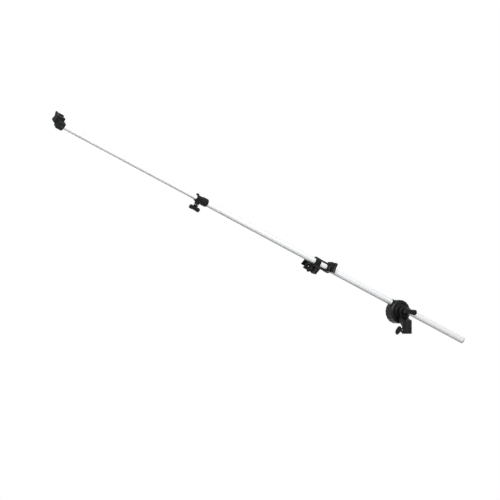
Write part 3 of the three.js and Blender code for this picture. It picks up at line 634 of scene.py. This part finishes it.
class Shader(Tree):
    """Builds one material's node tree."""

    def __init__(self, name):
        self.material = bpy.data.materials.new(name)
        self.material.use_nodes = True
        super().__init__(self.material.node_tree)
        self.surface = self.nodes["Principled BSDF"]
        self.place = self.node("ShaderNodeTexCoord", {}, [], output="Object")

    def set(self, **values):
        """Feeds the surface's sockets, named with _ for each space."""
        for key, value in values.items():
            self.feed(self.surface.inputs[key.replace("_", " ")], value)

    def noise(self, scale, detail, roughness=0.55, place=None):
        """Noise over Object coordinates, or over other ones."""
        inputs = {"Vector": place or self.place, "Scale": scale, "Detail": detail}
        return self.node("ShaderNodeTexNoise", {}, inputs | {"Roughness": roughness})

    def along_arm(self, scales):
        """Object coordinates turned so that X runs along the arm, then scaled along each axis."""
        sizes = tuple(1 / scale for scale in scales)
        inputs = {"Vector": self.place, "Rotation": (0.0, ARM_TILT, 0.0), "Scale": sizes}
        return self.node("ShaderNodeMapping", {"vector_type": "TEXTURE"}, inputs)

    def blend(self, share, first, second):
        """The first colour where the share is 0, the second where it is 1."""
        inputs = {MIX_SHARE: share, MIX_FIRST: first, MIX_SECOND: second}
        return self.node("ShaderNodeMix", {"data_type": "RGBA"}, inputs, output=MIX_RESULT)

    def mottled(self, share, tone, dark, light):
        """A colour that runs from a darker to a lighter one with the share."""
        return self.blend(share, rgba(tone, dark), rgba(tone, light))

    def bump(self, height, strength, distance):
        """Feeds a relief to the surface's normal."""
        inputs = {"Strength": strength, "Distance": distance, "Height": height}
        self.set(Normal=self.node("ShaderNodeBump", {}, inputs))

    def worn_edges(self, low, high):
        """1 on convex edges, from the surface's own curvature."""
        return self.node("ShaderNodeNewGeometry", {}, [], output="Pointiness").between(low, high)


class ShapeTree(Tree):
    """A geometry tree with named sizes, which ends in one plain mesh with its material."""

    def __init__(self, name, **sizes):
        self.group = bpy.data.node_groups.new(name, "GeometryNodeTree")
        super().__init__(self.group)
        sockets = self.group.interface
        sockets.new_socket("Shape", in_out="INPUT", socket_type="NodeSocketGeometry")
        for size, default in sizes.items():
            made = sockets.new_socket(size, in_out="INPUT", socket_type="NodeSocketFloat")
            made.default_value = default
        sockets.new_socket("Material", in_out="INPUT", socket_type="NodeSocketMaterial")
        sockets.new_socket("Shape", in_out="OUTPUT", socket_type="NodeSocketGeometry")
        self.given = {s.name: Wire(self, s) for s in self.nodes.new("NodeGroupInput").outputs if s.name}

    def end(self, shape):
        """Turns the shape into a plain mesh with the material, as the tree's result."""
        real = self.node("GeometryNodeRealizeInstances", {}, [shape])
        inputs = {"Geometry": real, "Material": self.given["Material"]}
        painted = self.node("GeometryNodeSetMaterial", {}, inputs)
        self.links.new(painted.value, self.nodes.new("NodeGroupOutput").inputs[0])

    def apply_to(self, made, material, **values):
        """Runs the tree on an object and leaves the plain mesh."""
        step = made.modifiers.new(self.group.name, "NODES")
        step.node_group = self.group
        values["Material"] = material
        for socket in self.group.interface.items_tree:
            if socket.in_out == "INPUT" and socket.name in values:
                step[socket.identifier] = values[socket.name]
        apply_modifiers(made)


def thread_tree():
    """Cuts a right-hand thread into the rod that it is given, between two heights."""
    tree = ShapeTree("screw_thread", Pitch=0.001, Depth=0.0005, Low=0.0, High=0.01)
    pitch, depth, low, high = (tree.given[name] for name in ("Pitch", "Depth", "Low", "High"))
    x, y, z = tree.node("GeometryNodeInputPosition", {}, []).parts()
    reach = ((x * x + y * y) ** 0.5).larger(SMALLEST_REACH)
    wave = abs((z / pitch - y.maths("ARCTAN2", x) / math.tau).maths("FRACT") * 2.0 - 1.0)
    ends = (z - low).between(0.0, pitch) * (high - z).between(0.0, pitch)
    share = 1.0 - depth * (1.0 - wave) * ends / reach
    spot = tree.node("ShaderNodeCombineXYZ", {}, [x * share, y * share, z])
    inputs = {"Geometry": tree.given["Shape"], "Position": spot}
    tree.end(tree.node("GeometryNodeSetPosition", {}, inputs))
    return tree


def screw_row_tree(count):
    """Presses a cross into a domed screw and repeats the screw along a line."""
    sizes = {"Spacing": 0.01, "Reach": 0.002, "Width": 0.0005, "Depth": 0.001, "Above": 0.0}
    tree = ShapeTree("screw_row", **sizes)
    spacing, reach, width, depth, above = (tree.given[name] for name in sizes)
    x, y, z = tree.node("GeometryNodeInputPosition", {}, []).parts()
    far, near = abs(x).larger(abs(y)), abs(x).maths("MINIMUM", abs(y))
    cross = (reach - far).between(0.0, width) * (width - near).between(0.0, width * FLANK_SHARE)
    down = depth * cross * (z - above).between(0.0, width)
    spot = tree.node("ShaderNodeCombineXYZ", {}, [x, y, z - down])
    inputs = {"Geometry": tree.given["Shape"], "Position": spot}
    screw = tree.node("GeometryNodeSetPosition", {}, inputs)
    step = tree.node("ShaderNodeCombineXYZ", {}, [spacing, 0.0, 0.0])
    line = tree.node("GeometryNodeMeshLine", {"mode": "OFFSET"}, {"Count": count, "Offset": step})
    inputs = {"Points": line, "Instance": screw}
    tree.end(tree.node("GeometryNodeInstanceOnPoints", {}, inputs))
    return tree


# Finishes, with how far lines, marks, clouds, wear and grain change a surface

EDGE_TINT = (0.10, 0.10, 0.11)
DRAW_LINE_SCALES = (9.0, 2600.0, 2600.0)
SCUFF_SCALES = (90.0, 900.0, 900.0)
TUBE_ROUGHNESS = 0.34
LINE_ROUGHNESS = 0.08
MARK_ROUGHNESS = 0.06
MARK_STRENGTH = 0.35
CLOUD_ROUGHNESS = 0.12
WEAR_POLISH = 0.10
WEAR_STRENGTH = 0.5
CASTING_ROUGHNESS = 0.28
CHIP_METAL = 0.9
RING_ROUGHNESS = 0.12
GRAIN_ROUGHNESS = 0.1
GRAIN_FINENESS = 8


def rgba(tone, factor=1.0):
    """A colour with its alpha, made darker or lighter by a factor."""
    return tuple(min(1.0, channel * factor) for channel in tone) + (1.0,)


def aluminium_material(tone):
    """Satin anodised tube: fine draw lines along it, and soft cloudy patches."""
    shader = Shader("satin_aluminium")
    lines = shader.noise(scale=1.0, detail=3.0, place=shader.along_arm(DRAW_LINE_SCALES))
    clouds = shader.noise(scale=9.0, detail=3.0)
    scuffs = shader.noise(scale=1.0, detail=2.0, place=shader.along_arm(SCUFF_SCALES))
    marks = scuffs.between(low=0.62, high=0.72)
    base = shader.mottled(clouds, tone, dark=0.93, light=1.04)
    shader.set(Base_Color=shader.blend(marks * MARK_STRENGTH, base, rgba(tone, factor=0.72)))
    roughness = TUBE_ROUGHNESS + lines * LINE_ROUGHNESS + marks * MARK_ROUGHNESS
    shader.set(Metallic=0.22, Roughness=roughness)
    shader.set(Specular_Tint=rgba(EDGE_TINT), Specular_IOR_Level=0.25)
    shader.bump(lines, strength=0.05, distance=0.00002)
    return shader.material


def moulded_material(name, tone, roughness):
    """Moulded plastic: a fine spark texture, cloudy gloss and slightly polished edges."""
    shader = Shader(name)
    grain = shader.noise(scale=2600.0, detail=2.0, roughness=0.6)
    clouds = shader.noise(scale=60.0, detail=4.0)
    patches = shader.noise(scale=240.0, detail=3.0).between(low=0.38, high=0.62)
    wear = shader.worn_edges(low=0.53, high=0.6) * patches
    base = shader.mottled(clouds, tone, dark=0.82, light=1.25)
    shader.set(Base_Color=shader.blend(wear * WEAR_STRENGTH, base, rgba(tone, factor=2.6)))
    shader.set(Roughness=roughness + clouds * CLOUD_ROUGHNESS - wear * WEAR_POLISH)
    shader.set(Specular_IOR_Level=0.14)
    shader.bump(grain, strength=0.35, distance=0.00006)
    return shader.material


def casting_material(tone, metal):
    """Black stoved paint with a light orange peel on cast alloy, bright where it has worn."""
    shader = Shader("painted_casting")
    peel = shader.noise(scale=700.0, detail=2.0, roughness=0.5)
    clouds = shader.noise(scale=45.0, detail=4.0)
    patches = shader.noise(scale=520.0, detail=4.0).between(low=0.60, high=0.66)
    chips = shader.worn_edges(low=0.57, high=0.63) * patches
    base = shader.mottled(clouds, tone, dark=0.8, light=1.3)
    shader.set(Base_Color=shader.blend(chips, base, rgba(metal, factor=0.6)))
    shader.set(Metallic=chips * CHIP_METAL, Roughness=CASTING_ROUGHNESS + clouds * CLOUD_ROUGHNESS)
    shader.set(Coat_Weight=0.05, Coat_Roughness=0.22, Specular_IOR_Level=0.14)
    shader.bump(peel, strength=0.22, distance=0.00012)
    return shader.material


def plated_material(name, tone, roughness):
    """Turned and plated metal: fine rings and cloudy brightness."""
    shader = Shader(name)
    rings = shader.noise(scale=3200.0, detail=2.0)
    clouds = shader.noise(scale=150.0, detail=3.0)
    shader.set(Base_Color=shader.mottled(clouds, tone, dark=0.85, light=1.1))
    shader.set(Metallic=1.0, Roughness=roughness + rings * RING_ROUGHNESS)
    shader.bump(rings, strength=0.1, distance=0.00005)
    return shader.material


def dull_material(name, tone, roughness, scale):
    """Nylon, rubber or fibre: a dull, slightly mottled surface."""
    shader = Shader(name)
    mottle = shader.noise(scale=scale, detail=4.0)
    grain = shader.noise(scale=scale * GRAIN_FINENESS, detail=2.0)
    shader.set(Base_Color=shader.mottled(mottle, tone, dark=0.8, light=1.2))
    shader.set(Roughness=roughness + grain * GRAIN_ROUGHNESS, Specular_IOR_Level=0.15)
    shader.bump(grain, strength=0.25, distance=0.00008)
    return shader.material


MATERIALS = {}


def make_materials():
    """Fills MATERIALS, by the names of the record's slots."""
    tones = bpy.context.scene.arm_colours
    MATERIALS.update(
        satin_aluminium=aluminium_material(tones.aluminium),
        painted_casting=casting_material(tones.casting, tones.zinc),
        black_plastic=moulded_material("black_plastic", tones.plastic, roughness=0.25),
        grey_plastic=moulded_material("grey_plastic", tones.charcoal, roughness=0.34),
        rubber=dull_material("rubber", tones.rubber, roughness=0.75, scale=300.0),
        zinc_steel=plated_material("zinc_steel", tones.zinc, roughness=0.22),
        blackened_steel=plated_material("blackened_steel", tones.black_steel, roughness=0.34),
        brass=plated_material("brass", tones.brass, roughness=0.25),
        nylon=dull_material("nylon", tones.nylon, roughness=0.45, scale=120.0),
        fibre=dull_material("fibre", tones.fibre, roughness=0.7, scale=400.0),
    )


def material_of(node):
    """The material that a node's slot asks for."""
    return MATERIALS[NODE_SLOT[node]]


# Pieces


class ARM_OT_materials(bpy.types.Operator):
    """Make the materials and give them to every carried-over piece"""

    bl_idname = "arm.materials"
    bl_label = "Materials"

    def execute(self, context):
        make_materials()
        for node, made in frame["nodes"].items():
            made.data.materials.clear()
            made.data.materials.append(material_of(node))
        return {"FINISHED"}


class ARM_OT_tubes(bpy.types.Operator):
    """Make the two tubes, the sleeve and the bushes as smooth turned forms"""

    bl_idname = "arm.tubes"
    bl_label = "Tubes"

    def execute(self, context):
        bevel = context.scene.arm_sizes.tube_bevel
        place = axis_matrix(CENTRE, ARM)
        for node in TUBE_NODES:
            low, high = span_along(node, CENTRE, ARM)
            inner, outer = radii_about(node, CENTRE, ARM)
            bands = max(1, round((high - low) / context.scene.arm_sizes.tube_band))
            run = [low + bevel + (high - low - 2 * bevel) * i / bands for i in range(bands + 1)]
            profile = [(inner, low + bevel), (inner + bevel, low), (outer - bevel, low)]
            profile += [(outer, height) for height in run]
            profile += [(outer - bevel, high), (inner + bevel, high), (inner, high - bevel)]
            finish_piece(turned(node + "_fine", profile, place), node)
        return {"FINISHED"}


class ARM_OT_turned_parts(bpy.types.Operator):
    """Make the washers, bushes, shoes, inserts, cap and rivet as smooth turned forms"""

    bl_idname = "arm.turned_parts"
    bl_label = "Turned parts"

    def execute(self, context):
        for node, joint in TURNED_NODES.items():
            finish_piece(fine_turned(node, node + "_fine", named_place(joint)), node)
        return {"FINISHED"}


class ARM_OT_studs(bpy.types.Operator):
    """Cut the threads of the five clamp studs and the pivot bolt"""

    bl_idname = "arm.studs"
    bl_label = "Threaded studs"

    def execute(self, context):
        sizes = context.scene.arm_sizes
        tree = thread_tree()
        for node, joint in STUD_NODES.items():
            threaded(tree, node, joint_place(joint), sizes.thread_pitch)
        place = joint_place("drum_pivot")
        shank = shank_radius(BOLT, place)
        threaded(tree, BOLT, place, sizes.bolt_pitch, shank, sizes.bolt_thread)
        return {"FINISHED"}


def shank_radius(node, place):
    """The smallest radius at which a node has corners off its axis."""
    radii = [polar(spot)[0] for spot in spots_of(node, place)]
    return min(radius for radius in radii if radius > SAME_RADIUS)


def threaded(tree, node, place, pitch, radius=None, run=None):
    """Cuts the thread of a stud or a bolt, over its full length or over a run from its low end."""
    sizes = bpy.context.scene.arm_sizes
    made = fine_turned(node, node + "_fine", place, radius)
    facets = facets_of(node, place, radius)
    low = facets.low
    high = min(facets.high, low + run) if run else facets.high
    ring_cuts(made, place, low, high, pitch / THREAD_RINGS)
    made.data.transform(place.inverted())
    depth = pitch * sizes.thread_depth_share
    tree.apply_to(made, material_of(node), Pitch=pitch, Depth=depth, Low=low, High=high)
    made.data.transform(place)
    finish_piece(made, node)


class ARM_OT_fasteners(bpy.types.Operator):
    """Make the two cross-headed clip screws and ease the knob's nut"""

    bl_idname = "arm.fasteners"
    bl_label = "Fasteners"

    def execute(self, context):
        sizes = context.scene.arm_sizes
        first, second = (middle_of(node) for node in CLIP_SCREWS)
        along = (second - first).normalized()
        axis = Vector(JOINTS["slider_clip_spin"]["axis"])
        place = Matrix.Translation(first) @ turn_to(along, axis)
        profile, rim = screw_profile(CLIP_SCREWS[0], place)
        made = turned("slider_clip_screws", profile, Matrix())
        material = material_of(CLIP_SCREWS[0])
        cross = {"Reach": sizes.cross_reach, "Width": sizes.cross_width, "Depth": sizes.cross_depth}
        tree = screw_row_tree(len(CLIP_SCREWS))
        tree.apply_to(made, material, Spacing=(second - first).length, Above=rim, **cross)
        made.data.transform(place)
        smooth_shade(made)
        finish_piece(made, *CLIP_SCREWS)
        finish_piece(bevelled(copy_of_node(NUT, NUT + "_fine"), sizes.edge_bevel), NUT)
        return {"FINISHED"}


def screw_profile(node, place):
    """A screw's shank and domed head as radius and height pairs, and the height of its rim."""
    spots = spots_of(node, place)
    low, high = min(spot.z for spot in spots), max(spot.z for spot in spots)
    head = max(polar(spot)[0] for spot in spots)
    shank = max(polar(spot)[0] for spot in spots if spot.z < low + SAME_RADIUS)
    under = high - shank
    rim = under + RIM_SHARE * (high - under)
    turns = [math.pi / 2 * i / DOME_RINGS for i in range(DOME_RINGS)]
    dome = [(head * math.cos(a), rim + (high - rim) * math.sin(a)) for a in turns]
    return [(0, low), (shank, low), (shank, under), (head, under), *dome, (0, high)], rim


def square_frame(node):
    """A frame that a clip's or a collar's flat sides are square to, so that they stay flat."""
    if node not in SQUARE_TO:
        return Matrix()
    return turn_to(ARM, Vector(JOINTS[SQUARE_TO[node]]["axis"]))


def softened_piece(node, name, grain):
    """Makes a softened copy of a node, with its faceted rounds made true."""
    sizes = bpy.context.scene.arm_sizes
    made = copy_of_node(node, name)
    square = square_frame(node)
    made.data.transform(square.inverted())
    rounds = sizes.paddle_rounds if node.endswith("_paddle") else sizes.soften_rounds
    soften(made, grain, rounds)
    made.data.transform(square)
    for form in ROUNDS.get(node, ()):
        place = named_place(form.place)
        make_round(made, place, facets_at(node, place, form.radius, form.sides), form.inner)
    if node.endswith("_t_knob"):
        bar, facets = bar_round(node, named_place(ROUNDS[node][0].place))
        make_round(made, bar, facets)
    finish_piece(made, node)


class ARM_OT_castings(bpy.types.Operator):
    """Soften the cast head and drum as their moulds would"""

    bl_idname = "arm.castings"
    bl_label = "Castings"

    def execute(self, context):
        for node in CAST_NODES:
            softened_piece(node, node + "_cast", context.scene.arm_sizes.cast_grain)
        return {"FINISHED"}


class ARM_OT_mouldings(bpy.types.Operator):
    """Soften the moulded collars, clips, knobs and paddles"""

    bl_idname = "arm.mouldings"
    bl_label = "Mouldings"

    def execute(self, context):
        for node in MOULDED_NODES:
            softened_piece(node, node + "_moulded", context.scene.arm_sizes.mould_grain)
        return {"FINISHED"}


# Stage, with the places of the lamps to the side of the aim point, out to the camera and up

KEY_PLACE = (0.8, 2.7, 1.5)
KEY_SIZE = (2.4, 1.6)
FILL_PLACE = (2.2, 1.8, 0.9)
FILL_SIZE = (0.6, 0.6)
WHITE = (1.0, 1.0, 1.0, 1.0)
FLOOR_FADE_SHARES = (0.55, 0.98)
HORIZON = (-0.1, 0.6)
CLIP_FACTOR = 2


class ARM_OT_stage(bpy.types.Operator):
    """Make the floor, the lamps, the sky and the camera"""

    bl_idname = "arm.stage"
    bl_label = "Stage"

    def execute(self, context):
        settings = context.scene.arm_stage
        add_floor(settings)
        add_sky(settings)
        add_lamp(settings, "key_softbox", KEY_PLACE, KEY_SIZE, settings.key_power)
        add_lamp(settings, "fill_softbox", FILL_PLACE, FILL_SIZE, settings.fill_power)
        add_camera(settings)
        context.scene.view_settings.view_transform = "Standard"
        return {"FINISHED"}


class StageTree(Tree):
    """The nodes of the floor or of the sky."""

    def seen(self):
        """1 for camera, glossy and transmitted rays."""
        kinds = ("Is Camera Ray", "Is Glossy Ray", "Is Transmission Ray")
        camera, glossy, through = (
            self.node("ShaderNodeLightPath", {}, [], output=kind) for kind in kinds
        )
        return camera.larger(glossy).larger(through)

    def mix(self, share, first, second):
        """The first shader where the share is 0, the second where it is 1."""
        return self.node("ShaderNodeMixShader", {}, [share, first, second])

    def finish(self, kind, shader):
        """Feeds the tree's output node."""
        self.feed(self.nodes[kind].inputs["Surface"], shader)


def add_floor(settings):
    """A pale floor that holds the shadow, is lifted to white where seen, and ends in plain white."""
    reach, height = settings.floor_size, settings.floor_height
    middle = aim_point(settings)
    sides = settings.floor_sides
    turns = [math.tau * i / sides for i in range(sides)]
    rim = [(middle.x + reach * math.cos(a), middle.y + reach * math.sin(a), height) for a in turns]
    mesh = bpy.data.meshes.new("studio_floor")
    mesh.from_pydata(rim, [], [tuple(range(sides))])
    floor = new_object("studio_floor", mesh)
    material = bpy.data.materials.new("studio_floor")
    material.use_nodes = True
    stage = StageTree(material.node_tree)
    plain = stage.node("ShaderNodeBsdfDiffuse", {}, {"Color": rgba(settings.floor_colour)})
    lift = stage.node("ShaderNodeEmission", {}, {"Strength": settings.floor_lift})
    white = stage.node("ShaderNodeEmission", {}, {"Strength": 1.0})
    lifted = stage.node("ShaderNodeAddShader", {}, [plain, lift])
    spot = stage.node("ShaderNodeTexCoord", {}, [], output="Object")
    ends = [spot, (middle.x, middle.y, height)]
    away = stage.node("ShaderNodeVectorMath", {"operation": "DISTANCE"}, ends, output="Value")
    start, end = FLOOR_FADE_SHARES
    edge = away.between(start * reach, end * reach)
    stage.finish("Material Output", stage.mix(stage.seen(), plain, stage.mix(edge, lifted, white)))
    mesh.materials.append(material)


def add_sky(settings):
    """Soft light from above and little from below, with plain white where it is seen."""
    world = bpy.data.worlds.new("studio_sky")
    world.use_nodes = True
    stage = StageTree(world.node_tree)
    height = stage.node("ShaderNodeTexCoord", {}, [], output="Generated").parts()[2]
    above = height.between(*HORIZON)
    dome = settings.sky_low + (settings.sky_strength - settings.sky_low) * above
    even = stage.node("ShaderNodeBackground", {}, {"Color": WHITE, "Strength": dome})
    white = stage.node("ShaderNodeBackground", {}, {"Color": WHITE, "Strength": 1.0})
    stage.finish("World Output", stage.mix(stage.seen(), even, white))
    bpy.context.scene.world = world


def aim_point(settings):
    """The point at the middle of the picture."""
    return Vector((settings.aim_along_arm, CENTRE.y, settings.aim_height))


def picture_ways(settings):
    """The ways to the right of the picture and out of it to the camera."""
    cosine, sine = math.cos(settings.azimuth), math.sin(settings.azimuth)
    return Vector((cosine, sine, 0)), Vector((sine, -cosine, 0))


def put(made, place, look):
    """Puts a lamp or a camera at a place, facing along look."""
    made.location = place
    made.rotation_mode = "QUATERNION"
    made.rotation_quaternion = look.to_track_quat("-Z", "Y")


def add_lamp(settings, name, offset, size, power):
    """A soft lamp that faces the aim point."""
    target = aim_point(settings)
    side, out = picture_ways(settings)
    place = target + side * offset[0] + out * offset[1] + Vector((0, 0, offset[2]))
    light = bpy.data.lights.new(name, "AREA")
    light.shape = "RECTANGLE"
    light.size, light.size_y = size
    light.energy = power
    put(new_object(name, light), place, target - place)


def add_camera(settings):
    """A level camera with a long lens, fitted to the photo's view."""
    out = picture_ways(settings)[1]
    data = bpy.data.cameras.new("photo_camera")
    data.lens = data.sensor_width * settings.distance / settings.frame_width
    data.clip_end = settings.distance * CLIP_FACTOR
    camera = new_object("photo_camera", data)
    put(camera, aim_point(settings) + out * settings.distance, -out)
    bpy.context.scene.camera = camera


# The add-on

OPERATORS = (
    ARM_OT_materials,
    ARM_OT_tubes,
    ARM_OT_turned_parts,
    ARM_OT_studs,
    ARM_OT_fasteners,
    ARM_OT_castings,
    ARM_OT_mouldings,
    ARM_OT_stage,
)


class ARM_PT_panel(bpy.types.Panel):
    """Lists the steps that dress the arm"""

    bl_idname = "ARM_PT_panel"
    bl_label = "Holder Arm"
    bl_space_type = "VIEW_3D"
    bl_region_type = "UI"
    bl_category = "Holder Arm"

    def draw(self, context):
        for group in (context.scene.arm_sizes, context.scene.arm_colours, context.scene.arm_stage):
            box = self.layout.box()
            for name in group.__annotations__:
                box.prop(group, name)
        for operator in OPERATORS:
            self.layout.operator(operator.bl_idname)


GROUPS = (ArmSizes, ArmColours, StageSettings)


def register():
    for made in GROUPS + OPERATORS + (ARM_PT_panel,):
        bpy.utils.register_class(made)
    bpy.types.Scene.arm_sizes = bpy.props.PointerProperty(type=ArmSizes)
    bpy.types.Scene.arm_colours = bpy.props.PointerProperty(type=ArmColours)
    bpy.types.Scene.arm_stage = bpy.props.PointerProperty(type=StageSettings)


def unregister():
    del bpy.types.Scene.arm_stage
    del bpy.types.Scene.arm_colours
    del bpy.types.Scene.arm_sizes
    for made in reversed(GROUPS + OPERATORS + (ARM_PT_panel,)):
        bpy.utils.unregister_class(made)


def main():
    """Runs every step."""
    register()
    for operator in OPERATORS:
        section, name = operator.bl_idname.split(".")
        getattr(getattr(bpy.ops, section), name)()


if __name__ == "__main__":
    main()
